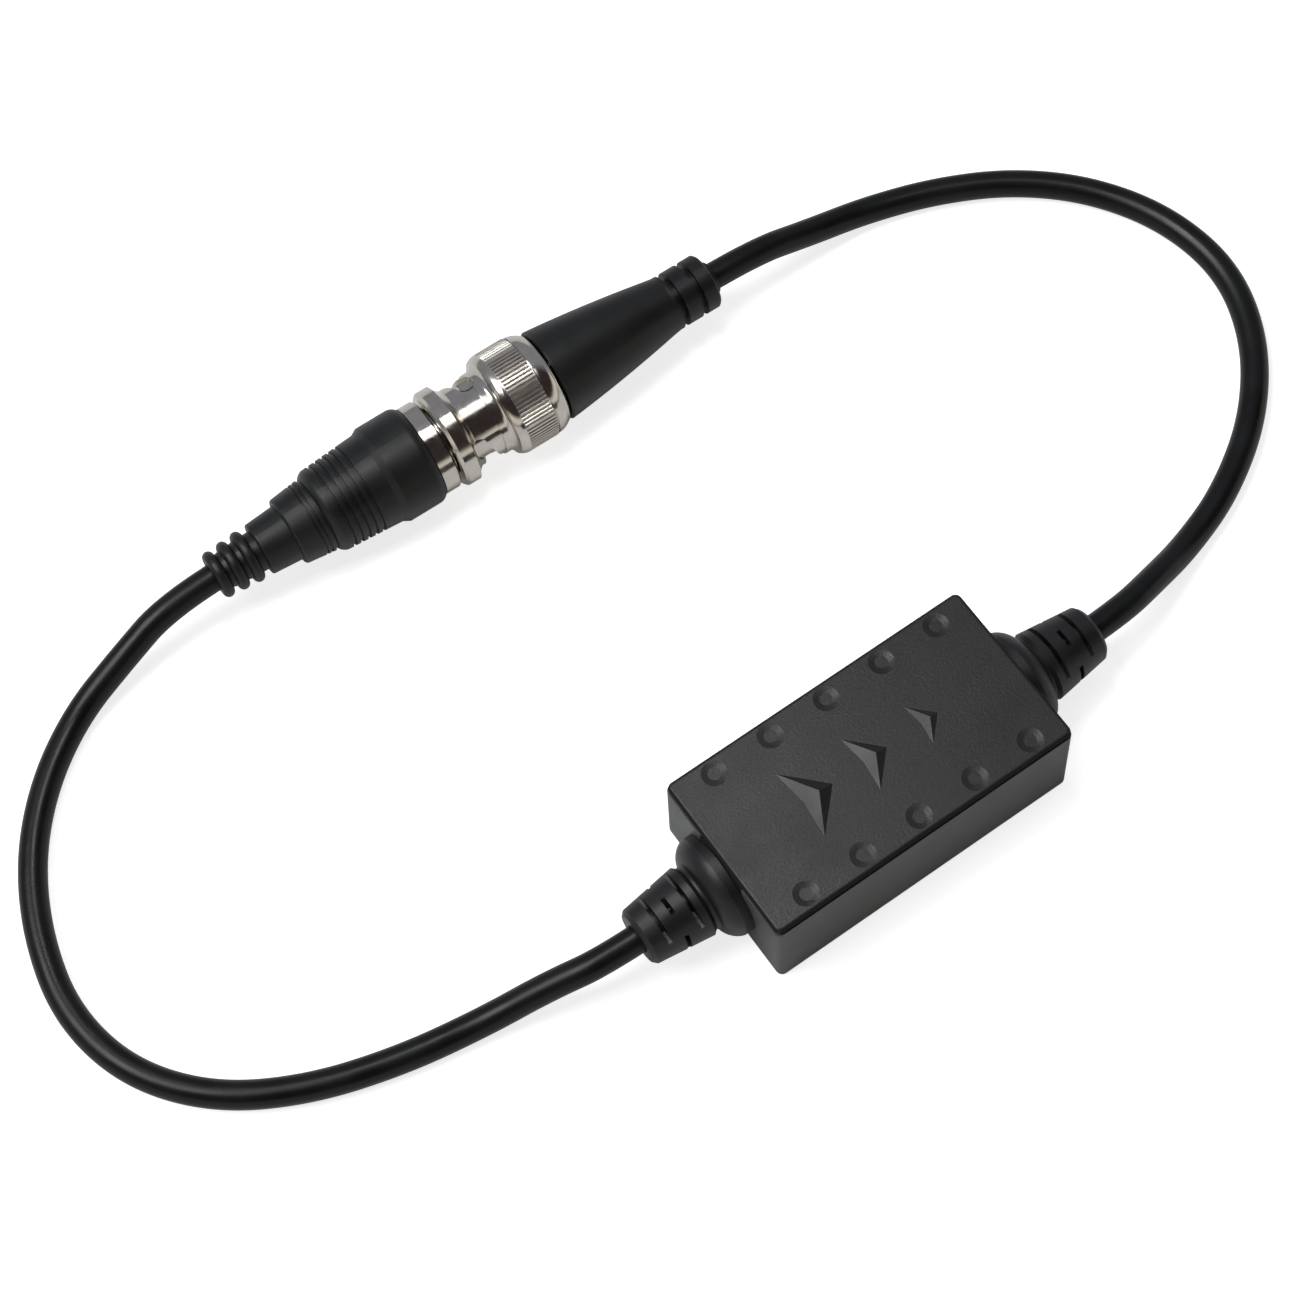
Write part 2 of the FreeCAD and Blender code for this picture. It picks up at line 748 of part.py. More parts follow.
def casing_cover():
    """The cover: a plate with a skirt in the rebate, a tongue over each grommet, and its relief."""
    body = new_body("cover_plate")
    plate = plane_sketch(body, "XY_Plane", "plate_outline", cover_bottom)
    half_long = wall_face - d.cover_inset
    half_wide = d.case_rim_width / 2 - d.cover_inset
    draw_outline(plate, block_outline(-half_long, half_long, -half_wide, half_wide))
    solid = padded(body, plate, d.case_height - cover_bottom)
    corners = rounded(body, solid, "cover_corners", at_a_corner, d.case_corner)
    rounded(body, corners, "cover_top_edge", on_outline_at(d.case_height), d.cover_edge)
    outer_long = wall_face - d.rim_wall - d.fit_gap
    outer_wide = d.case_rim_width / 2 - d.rim_wall - d.fit_gap
    slab = plane_sketch(body, "XY_Plane", "slab_outline", d.case_height - d.cover_thickness)
    draw_outline(slab, block_outline(-outer_long, outer_long, -outer_wide, outer_wide))
    padded(body, slab, cover_bottom - (d.case_height - d.cover_thickness))
    skirt = plane_sketch(body, "XY_Plane", "skirt_outline", d.case_rim_height - d.rim_depth)
    inner_long = wall_face - d.case_wall
    inner_wide = d.case_rim_width / 2 - d.case_wall
    draw_outline(skirt, block_outline(-outer_long, outer_long, -outer_wide, outer_wide))
    draw_outline(skirt, block_outline(-inner_long, inner_long, -inner_wide, inner_wide))
    padded(body, skirt, d.rim_depth + d.reveal_height)
    dimples = plane_sketch(body, "XY_Plane", "dimples", d.case_height)
    columns = SIZES["dimple_columns"]
    for row in (-1, 1):
        for column in range(columns):
            along = d.dimple_middle + d.dimple_pitch * (column - (columns - 1) / 2)
            draw_circle(dimples, along, d.dimple_row_offset * row, d.dimple_diameter / 2)
    dents = pocketed(body, dimples, d.dimple_depth)
    bind(dents, "TaperAngle", -d.dimple_slope)
    pieces = [body]
    half_tongue = d.grommet_neck_radius
    for tag, low, high in (
        ("left", d.fit_gap - wall_face, -inner_long),
        ("right", inner_long, wall_face - d.fit_gap),
    ):
        pieces.append(block(
            f"tongue_{tag}",
            (low, -half_tongue, d.grommet_height),
            (high, half_tongue, Formula.of(d.case_rim_height)),
        ))
    pieces.append(arrowhead("arrow_large", d.arrow_tips_first, Formula.of(1)))
    pieces.append(arrowhead("arrow_middle", d.arrow_tips_second, d.arrow_second_share))
    pieces.append(arrowhead("arrow_small", d.arrow_tips_third, d.arrow_third_share))
    whole = fused("cover_with_tongues", pieces)
    neck = rod(
        "neck_opening",
        d.grommet_neck_radius + d.fit_gap,
        d.case_length,
        (-wall_face, 0, d.grommet_height),
        axis=(0, 1, 0),
        turn=90,
    )
    node(cut("casing_cover", whole, neck))


# Grommets, measured outwards from the end wall's face


def slot_ring(name, start, angles, radius):
    """A cutting ring for slots round the grommet, less the bars that leave bridges."""
    reach = d.collar_radius
    outline = block_outline(start, start + d.slot_ring_width, d.slot_ring_floor, reach)
    tool = turned(f"{name}_whole", outline)
    for k, angle in enumerate(angles):
        foot = (start, sine(angle) * reach, -cosine(angle) * reach)
        bar = rod(f"{name}_bar_{k}", radius, 2 * reach, foot, axis=(1, 0, 0), turn=angle)
        tool = cut(f"{name}_less_bar_{k}", tool, bar)
    return tool


def grommet(name, turn, side):
    """The strain relief: a collar and a cone with three rings of slots for flexing."""
    inside = -d.case_wall
    profile = turned(f"{name}_turned_body", [
        (inside - d.grommet_flange_thickness, cord_bore),
        (inside - d.grommet_flange_thickness, d.grommet_flange_radius),
        (inside, d.grommet_flange_radius),
        (inside, d.grommet_neck_radius),
        (d.fit_gap, d.grommet_neck_radius),
        (d.fit_gap, d.collar_radius),
        (d.collar_flank_start, d.collar_radius),
        (d.collar_length, d.grommet_waist_radius + d.waist_round, d.collar_flank_bulge),
        (d.collar_length + d.waist_round, d.grommet_waist_radius, -d.waist_round),
        (d.grommet_root_place, d.grommet_root_radius),
        (d.grommet_length - d.grommet_edge, d.grommet_end_radius),
        (d.grommet_length, d.grommet_end_radius - d.grommet_edge),
        (d.grommet_length, cord_bore),
    ])
    crossed = (d.cross_bridge_angle, -d.cross_bridge_angle)
    slots = fused(f"{name}_slots", [
        slot_ring(f"{name}_root_slots", d.root_slots_place, (90,), d.side_bridge_radius),
        slot_ring(f"{name}_middle_slots", d.middle_slots_place, crossed, d.cross_bridge_radius),
        slot_ring(f"{name}_tip_slots", d.tip_slots_place, (90,), d.side_bridge_radius),
    ])
    whole = cut(name, profile, slots)
    node(place(whole, (wall_face * side, 0, d.grommet_height), turn))


# Cords and leads


def rounded_path(points, report=None):
    """Straight runs joined by tangent arcs, each as large as its two runs allow."""
    edges = []
    last = points[0]
    for k in range(1, len(points) - 1):
        back = points[k - 1] - points[k]
        ahead = points[k + 1] - points[k]
        turn = math.pi - back.getAngle(ahead)
        shorter = min(back.Length, ahead.Length)
        setback = BEND_SHARE * shorter
        radius = setback / math.tan(turn / 2)
        start = points[k] + back.normalize() * setback
        end = points[k] + ahead.normalize() * setback
        inward = (back + ahead).normalize()
        middle = points[k] + inward * (radius / math.cos(turn / 2) - radius)
        edges.append(Part.LineSegment(last, start).toShape())
        edges.append(Part.Arc(start, middle, end).toShape())
        last = end
        if report is not None:
            report.append(round(radius, 1))
    edges.append(Part.LineSegment(last, points[-1]).toShape())
    return Part.Wire(edges)


def tube(points, diameter, report=None):
    path = rounded_path(points, report)
    ring = Part.Wire([Part.Circle(points[0], points[1] - points[0], diameter / 2).toShape()])
    return path.makePipeShell([ring], True, False), path.Length


def free_cord(name, lead_points, route, tail_points):
    points = lead_points + [Vector(*point) for point in route] + tail_points
    radii = []
    shape, length = tube(points, SIZES["cord_diameter"], radii)
    section = math.pi * SIZES["cord_diameter"] ** 2 / 4
    print(f"{name}: length {length:.1f}, volume over section times length "
          f"{shape.Volume / (section * length):.4f}, radii {radii}")
    item = doc.addObject("Part::Feature", name)
    item.Label = name
    item.Shape = shape
    node(item)


def connector_spot(distance):
    """A point on the pair's axis, this far towards the plug from the mating plane."""
    return Vector(
        (d.mating_place + distance * pair_along[0]).value,
        (d.mating_offset + distance * pair_along[1]).value,
        pair_height.value,
    )


def grommet_spot(side, distance):
    return Vector((wall_face + distance).value * side, 0, d.grommet_height.value)


def pigtails():
    """The free stretch of each cord: it starts inside the boot and ends inside the grommet."""
    box_leads = {
        side: [
            grommet_spot(side, d.grommet_length + d.grommet_cord_lead),
            grommet_spot(side, d.grommet_length - d.cord_tuck),
        ]
        for side in (-1, 1)
    }
    jack_leads = [
        connector_spot(d.cord_tuck - jack_boot_end),
        connector_spot(-jack_boot_end - d.cord_lead),
    ]
    plug_end = plug_boot_tip - d.ring_reach
    plug_leads = [
        connector_spot(plug_end - d.cord_tuck),
        connector_spot(plug_end + d.cord_lead),
    ]
    free_cord("coax_left", jack_leads, LEFT_ROUTE, box_leads[-1])
    free_cord("coax_right", plug_leads, RIGHT_ROUTE, box_leads[1])


def box_cord_end(name, side, turn):
    """The cord's end in the box: jacket through the grommet, bared core, wire down to its pad."""
    tuck = wall_face + d.grommet_length - d.cord_tuck
    stepped = turned(f"{name}_jacket", [
        (d.core_end_place, 0),
        (tuck, 0),
        (tuck, cord_radius),
        (d.strip_place, cord_radius),
        (d.strip_place, d.core_diameter / 2),
        (d.core_end_place, d.core_diameter / 2),
    ])
    place(stepped, (0, 0, d.grommet_height), turn)
    start = Vector(SIZES["core_end_place"] * side, 0, SIZES["grommet_height"])
    corner = Vector(SIZES["core_pad_place"] * side, 0, SIZES["grommet_height"])
    foot = Vector(SIZES["core_pad_place"] * side, 0, board_top.value)
    wire = doc.addObject("Part::Feature", f"{name}_wire")
    wire.Shape = tube([start, corner, foot], SIZES["wire_diameter"])[0]
    node(fused(name, [stepped, wire]))


def braid_lead(name, side):
    """The braid twisted into a lead, from the jacket's end down to its pad."""
    offset = ((d.core_diameter + d.braid_diameter) / 2 + d.fit_gap).value
    start = Vector(SIZES["strip_place"] * side, offset, SIZES["grommet_height"])
    middle = Vector(SIZES["core_end_place"] * side, offset, SIZES["grommet_height"])
    corner = Vector(SIZES["braid_pad_place"] * side, SIZES["braid_pad_offset"], SIZES["grommet_height"])
    foot = Vector(SIZES["braid_pad_place"] * side, SIZES["braid_pad_offset"], board_top.value)
    lead = doc.addObject("Part::Feature", name)
    lead.Label = name
    lead.Shape = tube([start, middle, corner, foot], SIZES["braid_diameter"])[0]
    node(lead)


# Board and what it carries


def circuit_board():
    body = new_body("circuit_board")
    outline = plane_sketch(body, "XY_Plane", "board_outline")
    half_long = d.board_length / 2
    half_wide = d.board_width / 2
    draw_outline(outline, block_outline(-half_long, half_long, -half_wide, half_wide))
    for along in (-1, 1):
        for across in (-1, 1):
            draw_circle(
                outline,
                d.post_spacing_along * along / 2,
                d.post_spacing_across * across / 2,
                d.post_pin_radius + d.fit_gap,
            )
    padded(body, outline, d.board_thickness)
    node(place(body, (0, 0, board_bottom)))


def toroid():
    """The ring core lies on the board on its two windings."""
    inner = d.toroid_bore / 2
    outer = d.toroid_diameter / 2
    core_bottom = d.winding_thickness + d.fit_gap
    core_top = core_bottom + d.toroid_height
    core = turned("toroid_core", block_outline(inner, outer, core_bottom, core_top), axis="V_Axis")
    node(place(core, (0, 0, board_top)))
    skin = d.winding_thickness + d.fit_gap
    around = block_outline(inner - skin, outer + skin, 0, core_top + skin)
    room = d.fit_gap
    within = block_outline(inner - room, outer + room, core_bottom - room, core_top + room)
    for name, turn in (("winding_primary", 90), ("winding_secondary", -90)):
        winding = turned(name, around, axis="V_Axis", angle=d.winding_angle, holes=[within])
        node(place(winding, (0, 0, board_top), turn))


def disc_capacitor():
    radius = d.disc_diameter / 2
    half = d.disc_thickness / 2
    disc = turned("disc_body", [
        (-half, 0),
        (half, 0),
        (half, radius - half),
        (0, radius, d.disc_thickness),
        (-half, radius - half, d.disc_thickness),
    ])
    middle = board_top + d.disc_stand + radius
    place(disc, (d.disc_place, d.disc_offset, middle))
    pieces = [disc]
    for tag, across in (("front", -1), ("back", 1)):
        pieces.append(rod(
            f"disc_lead_{tag}",
            d.lead_diameter / 2,
            d.disc_stand + radius,
            (d.disc_place, d.disc_offset + d.disc_lead_spacing * across / 2, board_top),
        ))
    node(fused("isolation_capacitor", pieces))


def resistor():
    middle = board_top + d.resistor_stand + d.resistor_diameter / 2
    barrel = rod(
        "resistor_barrel",
        d.resistor_diameter / 2,
        d.resistor_length,
        (d.resistor_place, d.resistor_length / 2, middle),
        axis=(1, 0, 0),
        turn=90,
    )
    x = SIZES["resistor_place"]
    reach = SIZES["resistor_reach"]
    leads = doc.addObject("Part::Feature", "resistor_leads")
    leads.Shape = tube([
        Vector(x, -reach, board_top.value),
        Vector(x, -reach, middle.value),
        Vector(x, reach, middle.value),
        Vector(x, reach, board_top.value),
    ], SIZES["lead_diameter"])[0]
    node(fused("bleed_resistor", [barrel, leads]))


# Jack half, measured back from the mating plane


def jack_shell():
    """The barrel with its two bayonet lugs, the flange and the tail under the boot."""
    outside = turned("jack_shell_outside", [
        (0, 0),
        (0, d.jack_barrel_radius - d.jack_front_edge),
        (d.jack_front_edge, d.jack_barrel_radius),
        (d.jack_flange_start, d.jack_barrel_radius),
        (d.jack_flange_start, d.jack_flange_radius - d.jack_front_edge),
        (d.jack_flange_start + d.jack_front_edge, d.jack_flange_radius),
        (d.jack_flange_end, d.jack_flange_radius),
        (d.jack_flange_end, d.tail_radius),
        (d.jack_flange_end + d.tail_length, d.tail_radius),
        (d.jack_flange_end + d.tail_length, 0),
    ])
    lug_turn = Formula.of(90) - d.lug_angle
    lugs = rod(
        "lugs",
        d.lug_diameter / 2,
        d.lug_span,
        (d.lug_place, sine(lug_turn) * d.lug_span / 2, -cosine(lug_turn) * d.lug_span / 2),
        axis=(1, 0, 0),
        turn=lug_turn,
    )
    inside = turned("jack_shell_inside", [
        (-CLEAR, 0),
        (-CLEAR, d.jack_bore_radius),
        (d.jack_bore_depth, d.jack_bore_radius),
        (d.jack_bore_depth, d.dielectric_radius + d.fit_gap),
        (d.jack_dielectric_end, d.dielectric_radius + d.fit_gap),
        (d.jack_dielectric_end, d.tail_bore_radius),
        (d.jack_flange_end + d.tail_length + CLEAR, d.tail_bore_radius),
        (d.jack_flange_end + d.tail_length + CLEAR, 0),
    ])
    set_as_jack(cut("jack_shell", fused("jack_shell_solid", [outside, lugs]), inside))


def jack_inside():
    set_as_jack(turned("jack_insulator", block_outline(
        d.jack_dielectric_start,
        d.jack_dielectric_end,
        d.socket_radius + d.fit_gap,
        d.dielectric_radius,
    )))
    mouth = d.jack_dielectric_start + d.socket_setback
    bottom = mouth + d.socket_bore_depth
    socket = turned("socket_body", [
        (mouth, d.socket_bore_radius),
        (mouth, d.socket_radius),
        (d.contact_end, d.socket_radius),
        (d.contact_end, 0),
        (bottom, 0),
        (bottom, d.socket_bore_radius),
    ])
    slot = block(
        "socket_slot",
        (mouth - CLEAR, -d.socket_slot_width / 2, -d.socket_radius - CLEAR),
        (bottom - d.socket_radius, d.socket_slot_width / 2, d.socket_radius + CLEAR),
    )
    set_as_jack(cut("jack_centre_contact", socket, slot))
    sleeve_start = d.jack_flange_end + d.tail_length - d.sleeve_overlap
    set_as_jack(turned("jack_crimp_sleeve", sleeve_outline(sleeve_start, jack_jacket_end)))
    set_as_jack(turned("jack_cord_end", cord_end_outline(d.contact_end, jack_jacket_end, jack_boot_end)))


def sleeve_outline(start, end):
    inner = d.tail_radius + d.fit_gap
    return block_outline(start, end, inner, inner + d.sleeve_wall)


def cord_end_outline(contact, strip, tip):
    """A cord's end inside a boot: the bared core up to the contact, then the jacket."""
    return [
        (contact, 0),
        (contact, d.core_diameter / 2),
        (strip, d.core_diameter / 2),
        (strip, cord_radius),
        (tip - d.cord_tuck, cord_radius),
        (tip - d.cord_tuck, 0),
    ]


def boot_bore(face, sleeve_start, strip, tip):
    """The inside of a boot, from its tip back to its front face."""
    tail = d.tail_radius + d.fit_gap
    sleeve = tail + d.sleeve_wall + d.fit_gap
    return [
        (tip, cord_bore),
        (strip, cord_bore),
        (strip, sleeve),
        (sleeve_start, sleeve),
        (sleeve_start, tail),
        (face, tail),
    ]


def jack_boot():
    """The moulded boot: three round ribs, a stepped neck, a grooved grip and a head."""
    face = d.jack_flange_end
    grip = (d.jack_boot_grip_front, d.jack_boot_grip_radius)
    shoulder = (d.jack_boot_shoulder_place, d.jack_boot_shoulder_radius)
    outline = [
        (face, d.jack_boot_front_radius),
        (d.jack_boot_head_front, d.jack_boot_head_radius, d.jack_boot_front_bulge),
        (d.jack_boot_head_back, d.jack_boot_head_radius),
        grip,
    ]
    outline += ring_grooves(
        SIZES["grip_grooves"],
        d.grip_groove_first,
        d.grip_groove_pitch,
        d.grip_groove_width,
        d.grip_groove_depth,
        grip,
        shoulder,
    )
    step_front = (d.jack_boot_notch_place, d.jack_boot_step_front_radius)
    step_back = (d.jack_boot_step_place - d.jack_boot_step_edge, d.jack_boot_step_radius)
    notch_start = d.jack_boot_notch_place - d.jack_boot_notch_width
    outline += [
        shoulder,
        (notch_start, d.jack_boot_notch_radius, d.jack_boot_shoulder_bulge),
        (d.jack_boot_notch_place, d.jack_boot_notch_radius),
        step_front,
    ]
    outline += ring_grooves(
        SIZES["step_grooves"],
        d.step_groove_first,
        d.step_groove_pitch,
        d.step_groove_width,
        d.step_groove_depth,
        step_front,
        step_back,
    )
    round_step = d.jack_boot_step_edge
    outline += [
        step_back,
        (d.jack_boot_step_place, d.jack_boot_step_radius - d.jack_boot_step_edge, round_step),
        (d.jack_boot_step_place, d.jack_boot_neck_front_radius),
        (d.jack_boot_neck_start - d.jack_boot_neck_edge, d.jack_boot_neck_radius),
        (d.jack_boot_neck_start, d.jack_boot_neck_radius - d.jack_boot_neck_edge, d.jack_boot_neck_edge),
        (d.jack_boot_neck_start, d.jack_boot_valley_radius),
    ]
    half = d.jack_boot_rib_width / 2
    bulge = (half * half + d.jack_boot_rib_rise * d.jack_boot_rib_rise) / (2 * d.jack_boot_rib_rise)
    fall = (d.jack_boot_valley_radius - d.jack_boot_end_valley_radius) / (d.jack_boot_ribs - 1)
    for k in range(SIZES["jack_boot_ribs"]):
        middle = d.jack_boot_first_rib + d.jack_boot_rib_pitch * k
        foot = d.jack_boot_valley_radius - fall * k
        outline += [
            (middle - half, foot),
            (middle - half, foot + d.jack_boot_rib_side),
            (middle + half, foot + d.jack_boot_rib_side, bulge),
            (middle + half, foot),
        ]
    outline += boot_bore(
        face,
        d.jack_flange_end + d.tail_length - d.sleeve_overlap - d.fit_gap,
        jack_jacket_end + d.fit_gap,
        jack_boot_end,
    )
    set_as_jack(turned("jack_boot", outline))


# Plug half, measured from the coupling ring's front edge


def coupling_ring():
    """The bayonet ring: lip, waist, flare and knurl, with two slots that start as channels
    under the lip and climb a quarter turn through the waist to the lugs' seats."""
    groove = (d.clip_place, d.clip_place + d.clip_thickness + d.fit_gap)
    knurl_end = d.ring_knurl_start + d.ring_knurl_length
    body = turned("coupling_ring", [
        (d.ring_lip_edge, d.ring_bore_radius),
        (0, d.ring_bore_radius + d.ring_lip_edge),
        (0, d.ring_lip_radius - d.ring_lip_edge),
        (d.ring_lip_edge, d.ring_lip_radius),
        (d.ring_lip_length, d.ring_lip_radius),
        (d.ring_waist_start, d.ring_waist_radius, -d.ring_waist_bulge),
        (d.ring_step_place, d.ring_waist_radius),
        (d.ring_step_place, d.ring_step_radius),
        (d.ring_flare_start, d.ring_step_radius),
        (d.ring_shoulder_place, d.ring_shoulder_radius, -d.ring_flare_bulge),
        (d.ring_knurl_start, d.knurl_diameter / 2, d.ring_shoulder_bulge),
        (knurl_end, d.knurl_diameter / 2),
        (knurl_end, d.ring_relief_radius),
        (knurl_end + d.ring_relief_width, d.ring_relief_radius),
        (knurl_end + d.ring_relief_width, d.ring_bevel_front_radius),
        (d.ring_length - d.ring_rear_round, d.ring_bevel_radius, d.ring_bevel_bulge),
        (d.ring_length, d.ring_rear_radius, d.ring_rear_bulge),
        (d.ring_length, d.ring_cavity_radius),
        (groove[1], d.ring_cavity_radius),
        (groove[1], d.clip_outer_radius + d.fit_gap),
        (groove[0], d.clip_outer_radius + d.fit_gap),
        (groove[0], d.ring_cavity_radius),
        (body_shoulder - 2 * d.fit_gap, d.ring_cavity_radius),
        (body_shoulder - 2 * d.fit_gap, d.ring_bore_radius),
    ])
    knurl = plane_sketch(body, "YZ_Plane", "knurl_groove", d.ring_knurl_start)
    crest = d.knurl_diameter / 2
    # A right-angled groove, drawn as far above the crest as it is deep
    draw_outline(knurl, [
        (0, crest - d.knurl_depth),
        (d.knurl_depth * 2, crest + d.knurl_depth),
        (d.knurl_depth * -2, crest + d.knurl_depth),
    ])
    groove_cut = pocketed(body, knurl, d.ring_knurl_length, forward=True)
    polar(body, [groove_cut], "knurl", d.knurl_count)
    # The slots start opposite and a quarter turn before the seats
    turn = d.lug_angle + 90 - d.ring_quarter
    climb = d.ring_reach - d.lug_place - d.slot_entry_depth
    half = d.slot_width / 2
    deep = d.lug_span / 2 + d.slot_clearance
    channel = plane_sketch(body, "YZ_Plane", "entry_channel")
    channel.AttachmentOffset = Placement(Vector(0, 0, 0), Rotation(Vector(0, 0, 1), turn.value))
    bind(channel, "AttachmentOffset.Rotation.Angle", turn)
    draw_outline(channel, block_outline(-half, half, d.ring_bore_radius - CLEAR, deep))
    channel_cut = pocketed(body, channel, d.slot_entry_depth, forward=True)
    ramp = plane_sketch(body, "XZ_Plane", "slot_section", turn=turn)
    draw_outline(ramp, block_outline(
        d.slot_entry_depth - half,
        d.slot_entry_depth + half,
        d.ring_bore_radius - CLEAR,
        d.slot_cut_radius,
    ))
    helix = body.newObject("PartDesign::SubtractiveHelix", "slot_ramp")
    helix.Profile = ramp
    helix.ReferenceAxis = (ramp, ["H_Axis"])
    helix.Mode = "pitch-height-angle"
    bind(helix, "Pitch", climb * 360 / d.ring_quarter)
    bind(helix, "Height", climb)
    helix.Reversed = False
    ends = []
    for label, where, angle in (
        ("entry", d.slot_entry_depth, turn),
        ("seat", d.ring_reach - d.lug_place, turn + d.ring_quarter),
    ):
        seat = plane_sketch(body, "XY_Plane", f"slot_{label}", turn=angle)
        draw_circle(seat, where, 0, half)
        ends.append(pocketed(body, seat, d.slot_cut_radius, forward=True))
    polar(body, [channel_cut, helix] + ends, "slots", 2)
    set_as_plug(body)


def plug_body():
    """The turned body: a flange in the ring's cavity, a neck and the tail under the boot."""
    bore = d.contact_tail_radius + d.fit_gap
    bottom = body_shoulder + d.contact_tail_length
    set_as_plug(turned("plug_body", [
        (body_shoulder, bore),
        (body_shoulder, d.body_flange_radius),
        (body_flange_end, d.body_flange_radius),
        (body_flange_end, d.body_neck_radius),
        (plug_boot_start, d.body_neck_radius),
        (plug_boot_start, d.tail_radius),
        (plug_boot_start + d.plug_tail_length, d.tail_radius),
        (plug_boot_start + d.plug_tail_length, d.tail_bore_radius),
        (bottom, d.tail_bore_radius),
        (bottom, bore),
    ]))


def plug_inside():
    tip = d.ring_reach - d.contact_sleeve_reach
    tail_end = body_shoulder + d.contact_tail_length
    sleeve = turned("contact_sleeve_body", [
        (tip, d.contact_sleeve_bore),
        (tip, d.contact_sleeve_radius - d.contact_tip_drop),
        (tip + d.contact_tip_length, d.contact_sleeve_radius),
        (body_shoulder, d.contact_sleeve_radius),
        (body_shoulder, d.contact_tail_radius),
        (tail_end, d.contact_tail_radius),
        (tail_end, d.contact_sleeve_bore),
    ])
    half = d.contact_slot_width / 2
    reach = d.contact_sleeve_radius + CLEAR
    near = tip - CLEAR
    far = tip + d.contact_slot_length
    slots = fused("contact_slots", [
        block("contact_slot_upright", (near, -half, -reach), (far, half, reach)),
        block("contact_slot_level", (near, -reach, -half), (far, reach, half)),
    ])
    set_as_plug(cut("plug_outer_contact", sleeve, slots))
    set_as_plug(turned("plug_insulator", block_outline(
        d.ring_reach,
        tail_end,
        d.pin_radius + d.fit_gap,
        d.contact_sleeve_bore - d.fit_gap,
    )))
    pin_tip = d.ring_reach - d.pin_reach
    collar_end = tail_end + d.pin_collar_length
    set_as_plug(turned("plug_centre_pin", [
        (pin_tip, 0),
        (pin_tip, d.pin_radius / 2),
        (pin_tip + d.pin_radius, d.pin_radius),
        (tail_end, d.pin_radius),
        (tail_end, d.pin_collar_radius),
        (collar_end, d.pin_collar_radius),
        (collar_end, 0),
    ]))
    gasket = block_outline(d.ring_reach, body_shoulder, d.gasket_inner_radius, d.gasket_outer_radius)
    set_as_plug(turned("plug_gasket", gasket))
    sleeve_start = plug_boot_start + d.plug_tail_length - d.sleeve_overlap
    set_as_plug(turned("plug_crimp_sleeve", sleeve_outline(sleeve_start, plug_jacket_end)))
    set_as_plug(turned("plug_cord_end", cord_end_outline(collar_end, plug_jacket_end, plug_boot_tip)))


def ring_retainers():
    """Between the body's flange and the ring's clip: washer, bowed spring, washer."""
    inner = d.body_neck_radius + d.fit_gap
    outer = d.washer_outer_radius
    spring_start = body_flange_end + d.washer_thickness
    spring_end = spring_start + d.spring_height
    for name, start in (("front_thrust_washer", body_flange_end), ("rear_thrust_washer", spring_end)):
        set_as_plug(turned(name, block_outline(start, start + d.washer_thickness, inner, outer)))
    blank = turned("spring_blank", block_outline(spring_start, spring_end, inner, outer))
    sag = d.spring_height - d.spring_strip
    bow = (outer * outer + sag * sag) / (2 * sag)
    strip = new_body("spring_strip_body")
    side = plane_sketch(strip, "XZ_Plane", "spring_side")
    draw_outline(side, [
        (spring_start + sag, -outer),
        (spring_start + sag, outer, bow),
        (spring_end, outer),
        (spring_end, -outer, -bow),
    ])
    padded(strip, side, 2 * outer, midplane=True)
    spring = doc.addObject("Part::MultiCommon", "bowed_spring_washer")
    spring.Shapes = [blank, strip]
    spring.Label = "bowed_spring_washer"
    set_as_plug(spring)
    clip_start = spring_end + d.washer_thickness
    clip_end = clip_start + d.clip_thickness
    clip_section = block_outline(clip_start, clip_end, d.clip_inner_radius, d.clip_outer_radius)
    clip = turned("clip_ring", clip_section)
    opening = block(
        "clip_opening",
        (clip_start - CLEAR, -d.clip_gap_width / 2, 0),
        (clip_end + CLEAR, d.clip_gap_width / 2, d.clip_outer_radius + CLEAR),
    )
    set_as_plug(cut("retaining_clip", clip, opening))


def plug_boot():
    """The long tapered boot with two ring grooves at its neck."""
    face = plug_boot_start
    outline = [
        (face, d.plug_boot_front_radius - d.plug_boot_front_edge),
        (face + d.plug_boot_front_edge, d.plug_boot_front_radius),
        (face + d.plug_boot_taper_end, d.plug_boot_taper_radius, d.plug_boot_bulge),
        (face + d.plug_boot_neck_place, d.plug_boot_neck_radius),
    ]
    neck_end = (face + d.plug_boot_end - d.plug_boot_end_bevel, d.plug_boot_neck_radius)
    outline += ring_grooves(
        SIZES["plug_boot_ring_grooves"],
        face + d.plug_boot_groove_first,
        d.plug_boot_groove_pitch,
        d.plug_boot_groove_width,
        d.plug_boot_groove_depth,
        outline[-1],
        neck_end,
    )
    outline += [
        neck_end,
        (face + d.plug_boot_end, d.plug_boot_end_radius),
        (face + d.plug_boot_end, d.plug_boot_spout_radius),
        (plug_boot_tip, d.plug_boot_spout_radius - d.plug_boot_spout_drop),
    ]
    outline += boot_bore(
        face,
        face + d.plug_tail_length - d.sleeve_overlap - d.fit_gap,
        plug_jacket_end + d.fit_gap,
        plug_boot_tip,
    )
    set_as_plug(turned("plug_boot", outline))


def write_parts():
    doc.recompute()
    failed = [
        f"{item.Name}: {item.getStatusString()}"
        for item in doc.Objects
        if {"Invalid", "Error"} & set(item.State)
    ]
    if failed:
        raise RuntimeError(f"objects that failed: {failed}")
    for item in NODES:
        if item.Shape.isNull() or not item.Shape.isValid():
            raise RuntimeError(f"{item.Label} has no valid shape")
    os.makedirs("parts", exist_ok=True)
    for item in NODES:
        item.Shape.exportStep(f"parts/{item.Label}.step")


